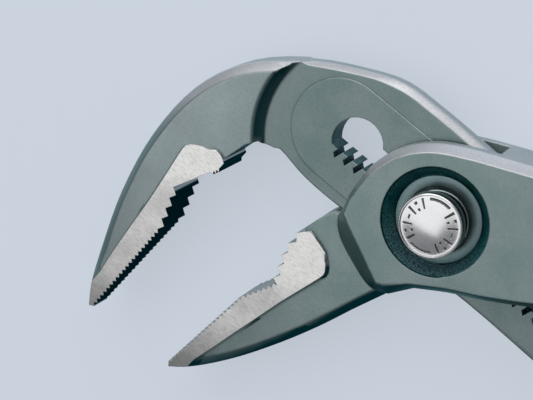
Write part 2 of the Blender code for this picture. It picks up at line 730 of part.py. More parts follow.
def main():
    for old in list(bpy.data.objects):
        bpy.data.objects.remove(old)
    forged = material("forged_steel", (0.13, 0.17, 0.17), 0.42, 0.9)
    ground = material("ground_steel", (0.55, 0.56, 0.55), 0.3, 1.0)
    bright = material("bright_steel", (0.62, 0.62, 0.61), 0.22, 1.0)
    wire = material("spring_wire", (0.35, 0.36, 0.36), 0.3, 1.0)
    dipped = material("dipped_vinyl", (0.45, 0.03, 0.025), 0.5, 0.0)

    frame = empty("joint_frame")
    on_slot = empty("slot_carrier", frame)
    on_pivot = empty("pivot_axis", on_slot)
    on_button = empty("button_axis", on_slot)
    rack_path = smooth(spread(rack_handle_shares, handle_end))
    box_path = smooth(spread(box_handle_shares, handle_end))
    pieces = [(rack_lever(forged), frame), (grip("lower_grip", rack_path, rack_root_shares, dipped), frame),
              (box_lever(forged), on_pivot),
              (grip("upper_grip", box_path, box_root_shares, dipped), on_pivot),
              (joint_bolt(ground), on_button), (push_button(bright), on_button),
              (seat_ring(ground), on_slot), (button_spring(wire), on_slot)]
    places = []
    for piece, carrier in pieces:
        piece.parent = carrier
        if piece.type == "MESH":
            places += [vert.co.xy for vert in piece.data.vertices]
    middle = [(min(place[k] for place in places) + max(place[k] for place in places)) / 2 for k in (0, 1)]
    frame.location = (-middle[0], -middle[1], half_joint)
    print("joint axis, in mm:", [round(value / mm, 3) for value in frame.location])


main()
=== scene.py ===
import json
import math

import bmesh
import bpy
from mathutils import Euler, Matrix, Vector


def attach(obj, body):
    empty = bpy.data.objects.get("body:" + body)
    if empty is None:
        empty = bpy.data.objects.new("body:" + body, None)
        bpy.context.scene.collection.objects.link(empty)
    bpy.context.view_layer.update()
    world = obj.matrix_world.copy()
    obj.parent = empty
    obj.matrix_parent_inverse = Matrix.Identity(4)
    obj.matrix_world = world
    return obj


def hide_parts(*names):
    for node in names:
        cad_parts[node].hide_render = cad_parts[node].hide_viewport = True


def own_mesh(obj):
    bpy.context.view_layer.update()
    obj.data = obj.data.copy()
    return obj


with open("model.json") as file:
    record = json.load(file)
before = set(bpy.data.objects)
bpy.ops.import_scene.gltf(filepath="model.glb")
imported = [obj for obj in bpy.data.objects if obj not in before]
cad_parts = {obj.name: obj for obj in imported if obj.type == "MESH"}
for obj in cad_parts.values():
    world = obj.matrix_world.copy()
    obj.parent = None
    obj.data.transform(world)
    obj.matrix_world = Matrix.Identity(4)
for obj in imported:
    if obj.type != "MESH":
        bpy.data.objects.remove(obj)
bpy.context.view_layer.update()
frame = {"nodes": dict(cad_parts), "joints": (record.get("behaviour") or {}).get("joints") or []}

mm = 0.001
nodes = frame["nodes"]
joints = {joint["name"]: joint for joint in frame["joints"]}
pivot = Vector(joints["jaw_pivot"]["pos_m"])
slotWay = Vector(joints["jaw_adjust"]["axis"]).xy
print("stage: frame loaded, joint axis at", [round(value / mm, 2) for value in pivot])


def newObject(name, bm):
    mesh = bpy.data.meshes.new(name)
    bm.to_mesh(mesh)
    bm.free()
    made = bpy.data.objects.new(name, mesh)
    bpy.context.scene.collection.objects.link(made)
    return made


# Node helpers: an input is a plain value, or the socket that feeds it
noiseRoughness = 0.55
noiseSpan = (0.3, 0.7)  # where most of a noise's values lie
sampling = {"edge": 6, "corner": 8}  # rays from each point, for rounded edges and for corners


def metres(edges):
    return tuple(edge * mm for edge in edges)


def feed(tree, socket, value):
    if isinstance(value, bpy.types.NodeSocket):
        tree.links.new(value, socket)
    elif socket.type == "RGBA":
        socket.default_value = (*value, 1)
    else:
        socket.default_value = value


def addNode(tree, kind, inputs=(), **settings):
    made = tree.nodes.new(kind)
    for key, value in settings.items():
        setattr(made, key, value)
    for key, value in dict(inputs).items():
        feed(tree, made.inputs[key], value)
    return made


def startMaterial(name):
    material = bpy.data.materials.new(name)
    material.use_nodes = True
    tree = material.node_tree
    return material, tree, tree.nodes["Principled BSDF"]


def dress(tree, shader, inputs):
    for key, value in inputs.items():
        feed(tree, shader.inputs[key], value)


def maths(tree, operation, first, second=0.0):
    return addNode(tree, "ShaderNodeMath", {0: first, 1: second}, operation=operation).outputs[0]


def times(tree, first, second):
    return maths(tree, "MULTIPLY", first, second)


def split(tree, vector):
    return addNode(tree, "ShaderNodeSeparateXYZ", {0: vector}).outputs


# Turns a value that runs over a span into one that runs from low to high
def ranged(tree, value, low, high, span=noiseSpan):
    return addNode(tree, "ShaderNodeMapRange", {
        "Value": value, "From Min": span[0], "From Max": span[1],
        "To Min": low, "To Max": high}).outputs[0]


def noise(tree, place, size, detail):
    return addNode(tree, "ShaderNodeTexNoise", {
        "Vector": place, "Scale": 1 / (size * mm), "Detail": detail,
        "Roughness": noiseRoughness}).outputs["Fac"]


# Coordinates drawn out along one direction of the face, for grinding marks
def brushed(tree, place, angle, stretch):
    turned = addNode(tree, "ShaderNodeMapping", {
        "Vector": place, "Rotation": (0, 0, -angle)}).outputs[0]
    return addNode(tree, "ShaderNodeMapping", {
        "Vector": turned, "Scale": (1 / stretch, 1, 1)}).outputs[0]


def blended(tree, factor, first, second, blendType="MIX"):
    return addNode(tree, "ShaderNodeMix", {0: factor, 6: first, 7: second},
                   data_type="RGBA", blend_type=blendType).outputs[2]


def shaded(tree, colour, tone):
    grey = addNode(tree, "ShaderNodeCombineXYZ", {0: tone, 1: tone, 2: tone}).outputs[0]
    return blended(tree, 1.0, colour, grey, "MULTIPLY")


def bumped(tree, height, depth, before):
    return addNode(tree, "ShaderNodeBump", {
        "Height": height, "Distance": depth * mm, "Strength": 1.0, "Normal": before}).outputs[0]


# The direction of the face with its edges rounded off
def softened(tree, radius):
    return addNode(tree, "ShaderNodeBevel", {"Radius": radius * mm},
                   samples=sampling["edge"]).outputs[0]


# The camera, where the photograph was taken from
cameraView = {
    "place": (-13.410, 108.459, 294.439),  # mm
    "turn": (-13.705, 22.311, 19.711),  # degrees about X, Y and Z
    "lens": 121.576,  # mm
    "sensor": 36,  # mm
    "nearest": 10,  # mm
}


def makeCamera():
    data = bpy.data.cameras.new("camera")
    data.lens = cameraView["lens"]
    data.sensor_width = cameraView["sensor"]
    data.clip_start = cameraView["nearest"] * mm
    camera = bpy.data.objects.new("camera", data)
    bpy.context.scene.collection.objects.link(camera)
    camera.location = Vector(cameraView["place"]) * mm
    camera.rotation_euler = Euler([math.radians(angle) for angle in cameraView["turn"]])
    bpy.context.scene.camera = camera


# The floor, the lamps and the light all round
studio = {
    "floorColour": (0.60, 0.655, 0.725),
    "floorSize": 6.0,  # metres
    "floorDrop": 0.02,  # mm under the tool, so that the two faces don't flicker
    "floorRoughness": 0.9,
    "floorShine": 0.1,
    "backdropColour": (0.575, 0.628, 0.70),  # what the camera, metal and glass see of the floor
    "backdropShare": 0.8,  # how much of that lies over the floor's own look
    "worldColour": (0.90, 0.94, 1.0),
    "worldStrength": 0.40,
    "lamps": [  # name, then place, aim and size in metres, then watts
        ("backLamp", (-0.36, 0.92, 0.46), (-0.07, 0, 0), (1.4, 0.9), 11.0),
        ("topLamp", (-0.50, 0.08, 1.1), (-0.05, 0, 0), (1.4, 1.4), 9.5),
    ],
}


def makeFloor():
    bm = bmesh.new()
    bmesh.ops.create_grid(bm, x_segments=1, y_segments=1, size=studio["floorSize"] / 2)
    bmesh.ops.translate(bm, verts=bm.verts, vec=(0, 0, -studio["floorDrop"] * mm))
    floor = newObject("floor", bm)
    paint, tree, shader = startMaterial("floorPaint")
    dress(tree, shader, {
        "Base Color": studio["floorColour"], "Roughness": studio["floorRoughness"],
        "Specular IOR Level": studio["floorShine"]})
    seen = addNode(tree, "ShaderNodeLightPath").outputs
    mirrored = maths(tree, "MAXIMUM", seen["Is Glossy Ray"], seen["Is Transmission Ray"])
    direct = maths(tree, "MAXIMUM", seen["Is Camera Ray"], mirrored)
    backdrop = addNode(tree, "ShaderNodeEmission", {"Color": studio["backdropColour"]})
    mixed = addNode(tree, "ShaderNodeMixShader", {
        0: times(tree, direct, studio["backdropShare"]),
        1: shader.outputs[0], 2: backdrop.outputs[0]})
    tree.links.new(mixed.outputs[0], tree.nodes["Material Output"].inputs["Surface"])
    floor.data.materials.append(paint)


def makeLight():
    world = bpy.data.worlds.new("studio")
    world.use_nodes = True
    sky = world.node_tree.nodes["Background"]
    sky.inputs["Color"].default_value = (*studio["worldColour"], 1)
    sky.inputs["Strength"].default_value = studio["worldStrength"]
    bpy.context.scene.world = world
    for name, place, aim, size, watts in studio["lamps"]:
        data = bpy.data.lights.new(name, "AREA")
        data.shape = "RECTANGLE"
        data.size, data.size_y = size
        data.energy = watts
        lamp = bpy.data.objects.new(name, data)
        bpy.context.scene.collection.objects.link(lamp)
        lamp.location = place
        lamp.rotation_euler = (Vector(place) - Vector(aim)).to_track_quat("Z", "Y").to_euler()
    bpy.context.scene.view_settings.view_transform = "Standard"


# What every steel shares. Openness is 0 in a closed corner and 1 in the open, level is 0 on an
# upright wall and 1 on a flat face.
steelRanges = {
    "shine": 0.3,
    "cloudDetail": 5, "grainDetail": 2, "markDetail": 1,
    "cloudSpan": (0.35, 0.65),
    "markSpan": (0.36, 0.46),
    "edgeMatch": (0.78, 0.985),  # how well the rounded and the plain direction agree
    "cornerOpenness": (0.35, 0.85),
    "edgeOpenness": (0.8, 0.95),
    "sideOpenness": (0.85, 0.98),
    "wallLevel": (0.05, 0.3),
    "backLevel": (0.25, 0.55),
    "backEdgeLevel": (0.05, 0.2),
}


# How much an edge is rounded off there: 0 on a face, up to 1 on an edge
def edgeWearAndGlint(tree, soft):
    plain = addNode(tree, "ShaderNodeNewGeometry").outputs["Normal"]
    match = addNode(tree, "ShaderNodeVectorMath", {0: soft, 1: plain},
                    operation="DOT_PRODUCT").outputs["Value"]
    return ranged(tree, match, 1, 0, steelRanges["edgeMatch"])


# The jaws' ends are paler, and what lies near the middle plane is darker, a painted shade on the
# sunk web
def paleJaws(tree, look, colour, spot):
    pale = ranged(tree, spot[0], 1, 0, metres(look["paleRange"]))
    colour = blended(tree, pale, colour, look["paleColour"])
    height = maths(tree, "ABSOLUTE", spot[2])
    sunk = ranged(tree, height, look["sunkShadeTone"], 1, metres(look["sunkRange"]))
    return shaded(tree, colour, sunk)


# Walls are painted dark as shade, with a painted highlight along the rim, and painted paler still,
# as light, where they face the jaws' ends or the back
def steepWalls(tree, look, colour, spot, facing, openness):
    level = maths(tree, "ABSOLUTE", facing[2])
    steep = ranged(tree, level, 1, 0, look["steepRange"])
    # painted shade: steep walls take a dark colour, and are darkened further the more upright they
    # stand
    colour = blended(tree, steep, colour, look["wallShadeColour"])
    wallShadeTone = ranged(tree, level, look["wallShadeTone"], 1, steelRanges["wallLevel"])
    colour = shaded(tree, colour, wallShadeTone)
    # painted highlight: a pale line along the rounded rim, in the open and away from walls facing
    # +X
    rim = maths(tree, "ABSOLUTE", maths(tree, "SUBTRACT", level, look["rimLevel"]))
    rim = times(tree, ranged(tree, rim, 1, 0, look["rimRange"]),
                ranged(tree, openness, 0, 1, steelRanges["edgeOpenness"]))
    rim = times(tree, rim, ranged(tree, facing[0], 1, 0, look["rimSide"]))
    colour = blended(tree, rim, colour, look["rimHighlightColour"])
    # painted light: walls facing the jaws' ends are painted paler
    side = times(tree, steep, ranged(tree, facing[0], 1, 0, look["sideRange"]))
    side = times(tree, side, ranged(tree, openness, 0, 1, steelRanges["sideOpenness"]))
    colour = blended(tree, side, colour, look["sideLightColour"])
    # painted light: walls facing the back are painted paler, outside the button's pocket, and a
    # little darker again where they stand nearly upright
    back = times(tree, steep, ranged(tree, facing[1], 0, 1, look["backRange"]))
    away = maths(tree, "SQRT", maths(
        tree, "ADD", times(tree, spot[0], spot[0]), times(tree, spot[1], spot[1])))
    back = times(tree, back, ranged(tree, away, 0, 1, metres(look["pocketReach"])))
    backLightTone = ranged(tree, level, look["backLightTone"], 1, steelRanges["backLevel"])
    backLightColour = shaded(tree, look["backLightColour"], backLightTone)
    backEdge = ranged(tree, level, look["backEdge"], 1, steelRanges["backEdgeLevel"])
    colour = blended(tree, back, colour, shaded(tree, backLightColour, backEdge))
    # painted shade: walls facing +X are made fully metallic, so that they reflect darker and more
    # teal
    darkWallMetal = times(tree, steep, ranged(tree, facing[0], 0, 1, look["rimSide"]))
    return colour, ranged(tree, darkWallMetal, look["metallic"], 1, (0, 1))


# Steel with a blasted or brushed grain, a cloudy tone, painted shade in its corners, and edges
# rubbed pale that also carry a painted edge highlight
def steel(name, look):
    material, tree, shader = startMaterial(name)
    coordinates = addNode(tree, "ShaderNodeTexCoord").outputs
    place = coordinates["Object"]
    spot = split(tree, addNode(tree, "ShaderNodeVectorMath", {0: place, 1: pivot},
                               operation="SUBTRACT").outputs["Vector"])
    facing = split(tree, coordinates["Normal"])
    soft = softened(tree, look["edgeRadius"])
    openness = addNode(tree, "ShaderNodeAmbientOcclusion", {"Distance": look["cornerReach"] * mm},
                       samples=sampling["corner"], only_local=True).outputs["AO"]
    cloud = noise(tree, place, look["cloudSize"], steelRanges["cloudDetail"])
    grained = place
    if "stretch" in look:
        grained = brushed(tree, place, math.radians(look["brushAngle"]), look["stretch"])
    grain = noise(tree, grained, look["grainSize"], steelRanges["grainDetail"])

    clouded = ranged(tree, cloud, 0, 1, steelRanges["cloudSpan"])
    colour = blended(tree, clouded, look["colour"], look["cloudColour"])
    metallic = look["metallic"]
    if "paleColour" in look:
        colour = paleJaws(tree, look, colour, spot)
    if "wallShadeColour" in look:
        colour, metallic = steepWalls(tree, look, colour, spot, facing, openness)
    # painted light: faces turned towards +Y are painted paler
    if "litColour" in look:
        lit = ranged(tree, facing[1], 0, 1, look["litRange"])
        colour = blended(tree, lit, colour, look["litColour"])
    # painted shade: the ground pads are darker towards their tips
    if "tipShadeTone" in look:
        tipShade = ranged(tree, spot[1], look["tipShadeTone"], 1, metres(look["tipShadeRange"]))
        colour = shaded(tree, colour, tipShade)
    if "markTone" in look:
        mark = noise(tree, grained, look["markSize"], steelRanges["markDetail"])
        marked = ranged(tree, mark, look["markTone"], 1, steelRanges["markSpan"])
        colour = shaded(tree, colour, marked)
    contrast = look["grainContrast"]
    colour = shaded(tree, colour, ranged(tree, grain, 1 - contrast, 1 + contrast))
    # painted shade: the colour is darkened in closed corners
    cornerShade = ranged(tree, openness, look["cornerShadeTone"], 1, steelRanges["cornerOpenness"])
    colour = shaded(tree, colour, cornerShade)
    # edges rubbed pale: partly real wear, partly a painted highlight along the rounded convex edges
    wornAndGlint = times(tree, edgeWearAndGlint(tree, soft),
                 ranged(tree, cloud, look["wearAndGlintShare"], 1, steelRanges["cloudSpan"]))
    wornAndGlint = times(tree, wornAndGlint, ranged(tree, openness, 0, 1, steelRanges["edgeOpenness"]))
    colour = blended(tree, times(tree, wornAndGlint, look["wearAndGlintStrength"]), colour, look["wearAndGlintColour"])
    dress(tree, shader, {
        "Base Color": colour, "Roughness": ranged(tree, cloud, *look["roughness"]),
        "Metallic": metallic, "Specular IOR Level": steelRanges["shine"],
        "Specular Tint": look.get("edgeTint", (1, 1, 1)),
        "Normal": bumped(tree, grain, look["grainDepth"], soft)})
    return material


# The metal finishes. Sizes, depths and places are in mm, places from the joint axis, and a tone
# multiplies the colour. The ranges of steep, rim, side, back and lit are of the face's direction,
# and those of pale, sunk, tip shade and pocket are places. Wall, rim, side, back, lit, sunk, tip
# and corner marks are painted shade and light.
steels = {
    "forged": {
        "colour": (0.126, 0.172, 0.170), "cloudColour": (0.180, 0.222, 0.222), "cloudSize": 8,
        "wallShadeColour": (0.005, 0.042, 0.046), "steepRange": (0.70, 0.94), "wallShadeTone": 0.6,
        "rimHighlightColour": (0.17, 0.21, 0.205), "rimLevel": 0.40, "rimRange": (0.04, 0.22),
        "rimSide": (0.2, 0.5),
        "sideLightColour": (0.21, 0.262, 0.256), "sideRange": (-0.75, -0.35),
        "backLightColour": (0.372, 0.373, 0.385), "backRange": (0.22, 0.38), "backLightTone": 1.75,
        "backEdge": 0.75, "pocketReach": (9.8, 10.4),
        "paleColour": (0.196, 0.232, 0.234), "paleRange": (-43, -31),
        "sunkShadeTone": 0.84, "sunkRange": (2.8, 4.2),
        "cornerReach": 0.9, "cornerShadeTone": 0.25, "edgeTint": (0.15, 0.45, 0.48),
        "grainSize": 0.22, "grainContrast": 0.11, "grainDepth": 0.016,
        "roughness": (0.40, 0.52), "metallic": 0.8,
        "edgeRadius": 0.3, "wearAndGlintStrength": 0.75, "wearAndGlintShare": 0.35,
        "wearAndGlintColour": (0.46, 0.50, 0.49),
    },
    "groundPad": {
        "colour": (0.48, 0.475, 0.46), "cloudColour": (0.58, 0.572, 0.555), "cloudSize": 5,
        "cornerReach": 0.3, "cornerShadeTone": 0.5, "tipShadeRange": (-46, -34), "tipShadeTone": 0.4,
        "grainSize": 0.13, "grainContrast": 0.10, "grainDepth": 0.006,
        "stretch": 6, "brushAngle": -12,  # degrees
        "markSize": 0.2, "markTone": 0.8, "roughness": (0.36, 0.46), "metallic": 0.75,
        "edgeRadius": 0.15, "wearAndGlintStrength": 0.5, "wearAndGlintShare": 0.5, "wearAndGlintColour": (0.75, 0.75, 0.73),
    },
    # the slot's walls and the button's pocket: a real rough grain, under a near-black teal that is
    # painted shade
    "shadedRecess": {
        "colour": (0.004, 0.062, 0.064), "cloudColour": (0.016, 0.094, 0.100), "cloudSize": 3,
        "litColour": (0.062, 0.125, 0.140), "litRange": (0.1, 0.85),
        "cornerReach": 0.9, "cornerShadeTone": 0.4, "edgeTint": (0.3, 0.5, 0.52),
        "grainSize": 0.26, "grainContrast": 0.9, "grainDepth": 0.06,
        "roughness": (0.38, 0.5), "metallic": 0.5,
        "edgeRadius": 0.3, "wearAndGlintStrength": 0.5, "wearAndGlintShare": 0.35, "wearAndGlintColour": (0.24, 0.29, 0.29),
    },
    "bright": {
        "colour": (0.42, 0.42, 0.42), "cloudColour": (0.47, 0.47, 0.47), "cloudSize": 5,
        "cornerReach": 0.2, "cornerShadeTone": 0.5,
        "grainSize": 0.14, "grainContrast": 0.04, "grainDepth": 0.002,
        "roughness": (0.2, 0.28), "metallic": 1.0,
        "edgeRadius": 0.08, "wearAndGlintStrength": 0.4, "wearAndGlintShare": 0.6, "wearAndGlintColour": (0.75, 0.75, 0.75),
    },
    "grooveFloor": {
        "colour": (0.03, 0.033, 0.033), "cloudColour": (0.05, 0.053, 0.053), "cloudSize": 2,
        "cornerReach": 0.3, "cornerShadeTone": 0.5,
        "grainSize": 0.12, "grainContrast": 0.2, "grainDepth": 0.004,
        "roughness": (0.5, 0.6), "metallic": 0.4,
        "edgeRadius": 0.05, "wearAndGlintStrength": 0.0, "wearAndGlintShare": 0.5, "wearAndGlintColour": (0.4, 0.4, 0.4),
    },
    "darkSteel": {
        "colour": (0.085, 0.130, 0.132), "cloudColour": (0.125, 0.172, 0.175), "cloudSize": 4,
        "cornerReach": 0.5, "cornerShadeTone": 0.35, "edgeTint": (0.5, 0.7, 0.72),
        "grainSize": 0.22, "grainContrast": 0.14, "grainDepth": 0.012,
        "roughness": (0.36, 0.48), "metallic": 0.8,
        "edgeRadius": 0.12, "wearAndGlintStrength": 0.8, "wearAndGlintShare": 0.4, "wearAndGlintColour": (0.5, 0.53, 0.53),
    },
    "wire": {
        "colour": (0.15, 0.18, 0.18), "cloudColour": (0.21, 0.24, 0.24), "cloudSize": 2,
        "cornerReach": 0.3, "cornerShadeTone": 0.5,
        "grainSize": 0.1, "grainContrast": 0.12, "grainDepth": 0.003,
        "roughness": (0.22, 0.32), "metallic": 1.0,
        "edgeRadius": 0.05, "wearAndGlintStrength": 0.3, "wearAndGlintShare": 0.4, "wearAndGlintColour": (0.4, 0.42, 0.42),
    },
}

# Dipped vinyl, with a slight orange peel over a fine grain, darker where hands have rubbed it
vinyl = {
    "colour": (0.42, 0.018, 0.016), "cloudColour": (0.50, 0.030, 0.024),
    "cloudSize": 14, "cloudDetail": 4,
    "rubbedColour": (0.30, 0.012, 0.012), "rubbedSize": 40, "rubbedDetail": 3,
    "rubbedShare": 0.6, "rubbedSpan": (0.5, 0.7),
    "peelSize": 1.3, "peelDepth": 0.03, "grainSize": 0.25, "grainDepth": 0.004, "skinDetail": 2,
    "edgeRadius": 0.4, "roughness": (0.34, 0.46),
}


def dippedVinyl():
    material, tree, shader = startMaterial("dippedVinyl")
    place = addNode(tree, "ShaderNodeTexCoord").outputs["Object"]
    soft = softened(tree, vinyl["edgeRadius"])
    cloud = noise(tree, place, vinyl["cloudSize"], vinyl["cloudDetail"])
    colour = blended(tree, ranged(tree, cloud, 0, 1), vinyl["colour"], vinyl["cloudColour"])
    rubbed = noise(tree, place, vinyl["rubbedSize"], vinyl["rubbedDetail"])
    rubbed = ranged(tree, rubbed, 0, vinyl["rubbedShare"], vinyl["rubbedSpan"])
    colour = blended(tree, rubbed, colour, vinyl["rubbedColour"])
    peel = noise(tree, place, vinyl["peelSize"], vinyl["skinDetail"])
    grain = noise(tree, place, vinyl["grainSize"], vinyl["skinDetail"])
    skin = bumped(tree, peel, vinyl["peelDepth"], soft)
    dress(tree, shader, {
        "Base Color": colour, "Roughness": ranged(tree, cloud, *vinyl["roughness"]),
        "Normal": bumped(tree, grain, vinyl["grainDepth"], skin)})
    return material


# A piece takes the place of its CAD node, on the same body
def adopt(piece, node, body, finishes, sharpAngle):
    for finish in finishes:
        piece.data.materials.append(materials[finish])
    piece.data.shade_smooth()
    piece.data.set_sharp_from_angle(angle=math.radians(sharpAngle))
    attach(piece, body)
    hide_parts(node)
    print("stage:", piece.name, len(piece.data.polygons), "faces")


# A CAD node's loose triangles, joined again
joining = {
    "nearest": 0.004,  # mm
    "flatAngle": 0.8,  # degrees
}


def mergedCopy(node):
    bm = bmesh.new()
    bm.from_mesh(nodes[node].data)
    bmesh.ops.remove_doubles(bm, verts=bm.verts, dist=joining["nearest"] * mm)
    return bm


def flatsJoined(bm):
    bmesh.ops.dissolve_limit(bm, angle_limit=math.radians(joining["flatAngle"]), verts=bm.verts,
                             edges=bm.edges, use_dissolve_boundaries=False, delimit={"NORMAL"})
    return bm


# The flats keep their own direction, and only the rounded rows beside them turn
def weighted(piece):
    steady = piece.modifiers.new("steady", "WEIGHTED_NORMAL")
    steady.mode = "FACE_AREA"
    steady.weight = 100
    steady.keep_sharp = True


# Edges that the photograph shows wider or straighter, in mm from the joint axis, on both faces
mends = {
    "reach": 0.03,  # how near a corner has to be found
    "cheekCorner": [  # found at, moved to
        ((-13.69, -5.81, 7.5), (-14.97, -5.43, 7.5)),
        ((-14.31, -5.73, 7.24), (-15.38, -5.45, 7.24)),
    ],
    "cheekLine": ((-14.97, -5.43), (-4.97, -14.69)),  # the flat's straight edge towards the jaw
    "cheekBand": (-1, 5),  # how far inside and outside that line the mend looks
    "cheekRows": [(7.4, 7.6, 0.0), (7.1, 7.3, 0.5)],  # lowest, highest, distance outside the line
    "cheekFoot": (5.1, 5.4, 0.9),  # lowest, highest, largest move inward
    "webRows": (2.25, 2.5),  # lowest and highest of the rows inside the web's sloped back
    "webBack": [  # place along the web, lowest point of those rows, how far they move in
        (-32.6, 14.2, 0.0), (-31.5, 14.8, 0.45), (-28.8, 15.4, 0.58), (-26.1, 15.9, 0.45),
        (-23.5, 16.2, 0.28), (-21.1, 16.5, 0.06), (-19.2, 16.7, 0.0),
    ],
}


# The flat of each cheek ends towards the jaw in a sharp corner and a straight edge
def mendCheek(bm):
    for vert in bm.verts:
        place = (vert.co - pivot) / mm
        face = math.copysign(1, place.z)
        folded = Vector((place.x, place.y, abs(place.z)))
        for found, moved in mends["cheekCorner"]:
            if (folded - Vector(found)).length < mends["reach"]:
                vert.co = pivot + Vector((moved[0], moved[1], moved[2] * face)) * mm
    start, end = (Vector(corner) for corner in mends["cheekLine"])
    along = (end - start).normalized()
    outward = Vector((along.y, -along.x))
    inner, outer = mends["cheekBand"]
    for vert in bm.verts:
        place = (vert.co - pivot) / mm
        share = (place.xy - start).dot(along) / (end - start).length
        outside = (place.xy - start).dot(outward)
        if 0 < share < 1 and inner < outside < outer:
            for low, high, reach in mends["cheekRows"]:
                if low < abs(place.z) < high and outside > reach:
                    vert.co.xy -= outward * (outside - reach) * mm
            low, high, most = mends["cheekFoot"]
            if low < abs(place.z) < high:
                vert.co.xy -= outward * most * math.sin(math.pi * share) * mm
    return bm


# The web's sloped back reaches further in
def mendWeb(bm):
    low, high = mends["webRows"]
    rows = list(zip(mends["webBack"], mends["webBack"][1:]))
    for vert in bm.verts:
        place = (vert.co - pivot) / mm
        for (start, startLow, startShift), (end, endLow, endShift) in rows:
            share = (place.x - start) / (end - start)
            if 0 <= share < 1 and low < abs(place.z) < high:
                if place.y > startLow + (endLow - startLow) * share:
                    vert.co.y -= (startShift + (endShift - startShift) * share) * mm
                break
    return bm


# The levers: places in mm from the joint axis, heights from the middle plane
levers = {
    "sharpAngle": 34,
    "jawLimit": {"rack_lever": (-18, -4), "box_lever": (-18, -11)},  # a jaw lies below both
    "padStart": {"rack_lever": (-46.0, -15.5), "box_lever": (-22.4, -24.2)},
    "padTip": {"rack_lever": (-54.6, -45.1), "box_lever": (-37.5, -48.9)},
    "padLevel": 4.97,  # lowest height of the pad's face at its start
    "padTop": 5.3,
    "tipShare": 0.52,  # height of the pad's face at its tip, as a share of that
    "flatLevel": 0.9,  # a face is flat above this
    "wallLevel": 0.5,  # and a wall below this
    "slotReach": 5.6,
    "slotStart": -31,
    "pocketRadius": 9.62,
    "pocketBand": (3.8, 7.35),
}
leverFinishes = ("forged", "groundPad", "shadedRecess")


# The jaws' gripping pads are ground bright, the slot's walls and the button's pocket left rough and
# painted dark as shade
def paintRegions(piece, node):
    pad, rough = (leverFinishes.index(finish) for finish in ("groundPad", "shadedRecess"))
    jawEnd, jawSide = metres(levers["jawLimit"][node])
    start, tip = (Vector(levers[key][node]) * mm for key in ("padStart", "padTip"))
    reach = tip - start
    low, high = levers["pocketBand"]
    for face in piece.data.polygons:
        centre = face.center - pivot
        level = abs(face.normal.z)
        if centre.x < jawEnd and centre.y < jawSide and level > levers["flatLevel"]:
            share = (centre.xy - start).dot(reach) / reach.length_squared
            taper = 1 - (1 - levers["tipShare"]) * max(share, 0)
            height = abs(centre.z) / mm / taper
            if height > levers["padLevel"] and abs(centre.z) < levers["padTop"] * mm:
                face.material_index = pad
        if node == "rack_lever":
            along, across = (centre.xy.dot(way) / mm for way in (slotWay, slotWay.orthogonal()))
            inSlot = along > levers["slotStart"] and abs(across) < levers["slotReach"]
            if inSlot and level < levers["wallLevel"]:
                face.material_index = rough
        elif centre.xy.length < levers["pocketRadius"] * mm and low < centre.z / mm < high:
            face.material_index = rough


def makeLevers():
    for node, name, body, mend in (("rack_lever", "hookLever", "rack_side", mendWeb),
                                   ("box_lever", "cheekLever", "box_side", mendCheek)):
        piece = newObject(name, mend(flatsJoined(mergedCopy(node))))
        adopt(piece, node, body, leverFinishes, levers["sharpAngle"])
        paintRegions(piece, node)
        weighted(piece)


# Corners steeper than this are bevelled, where a turned piece has a softness
turning = {
    "cornerAngle": 40,  # degrees
    "segments": 2,
}


# A closed profile of radius and height, in mm from the joint axis and the middle plane, spun round
def turnedPiece(profile, steps, softness=0.0):
    bm = bmesh.new()
    verts = [bm.verts.new(pivot + Vector((radius, 0, height)) * mm) for radius, height in profile]
    rims = [bm.edges.new(pair) for pair in zip(verts, verts[1:] + verts[:1])]
    bmesh.ops.spin(bm, geom=verts + rims, cent=pivot, axis=(0, 0, 1), angle=math.tau, steps=steps,
                   use_merge=True)
    bmesh.ops.remove_doubles(bm, verts=bm.verts, dist=joining["nearest"] * mm)
    loose = [edge for edge in bm.edges if not edge.link_faces]
    bmesh.ops.delete(bm, geom=loose, context="EDGES")
    bmesh.ops.recalc_face_normals(bm, faces=bm.faces)
    if softness:
        steepest = math.radians(turning["cornerAngle"])
        corners = [edge for edge in bm.edges if edge.calc_face_angle(0) > steepest]
        bmesh.ops.bevel(bm, geom=corners, offset=softness * mm, segments=turning["segments"],
                        profile=0.5, affect="EDGES", material=-1)
    return bm


# The seat ring: thin sheet with a flange, which lies in the pocket and carries the spring
seatRing = {
    "bore": 3.6, "wall": 6.3, "flange": 7.6, "floor": 4.3, "ledge": 4.8, "sheet": 0.5,
    "softness": 0.09, "steps": 96, "sharpAngle": 50,
}


def makeSeatRing():
    bore, wall, flange, floor, ledge, sheet = (
        seatRing[key] for key in ("bore", "wall", "flange", "floor", "ledge", "sheet"))
    profile = [
        (bore, floor), (wall, floor), (wall, ledge), (flange, ledge), (flange, ledge + sheet),
        (wall - sheet, ledge + sheet), (wall - sheet, floor + sheet), (bore, floor + sheet)]
    piece = newObject("seatRing", turnedPiece(profile, seatRing["steps"], seatRing["softness"]))
    adopt(piece, "seat_ring", "joint_seat", ("darkSteel",), seatRing["sharpAngle"])


